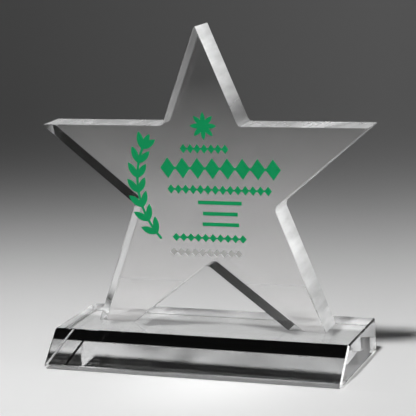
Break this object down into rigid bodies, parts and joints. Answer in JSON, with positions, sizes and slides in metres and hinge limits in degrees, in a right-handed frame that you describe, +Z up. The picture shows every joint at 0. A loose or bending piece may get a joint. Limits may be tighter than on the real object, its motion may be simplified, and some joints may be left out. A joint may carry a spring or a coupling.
{
  "type": "star award",
  "caption": "Clear acrylic star award: a thick star-shaped plate with green print, cemented by its flat feet to a clear slab base with a sloped front.",
  "frame": {"origin": "middle of the base block's footprint, on the surface the award stands on", "axes": "+Z up, +Y to the back, +X to the viewer's right when facing the printed side"},
  "size_m": [0.1862, 0.0684, 0.1833],
  "materials": {
    "clear_acrylic": "polished clear cast acrylic",
    "set_cement": "clear set acrylic cement",
    "green_ink": "opaque satin screen-print ink"
  },
  "bodies": {
    "root": {"star_plate": "clear_acrylic", "base_block": "clear_acrylic", "left_foot_film": "set_cement", "right_foot_film": "set_cement", "printed_laurel": "green_ink", "printed_rosette": "green_ink", "printed_top_line": "green_ink", "printed_title_line": "green_ink", "printed_second_line": "green_ink", "printed_closing_line": "green_ink", "printed_bar_1": "green_ink", "printed_bar_2": "green_ink", "printed_bar_3": "green_ink"}
  },
  "joints": []
}
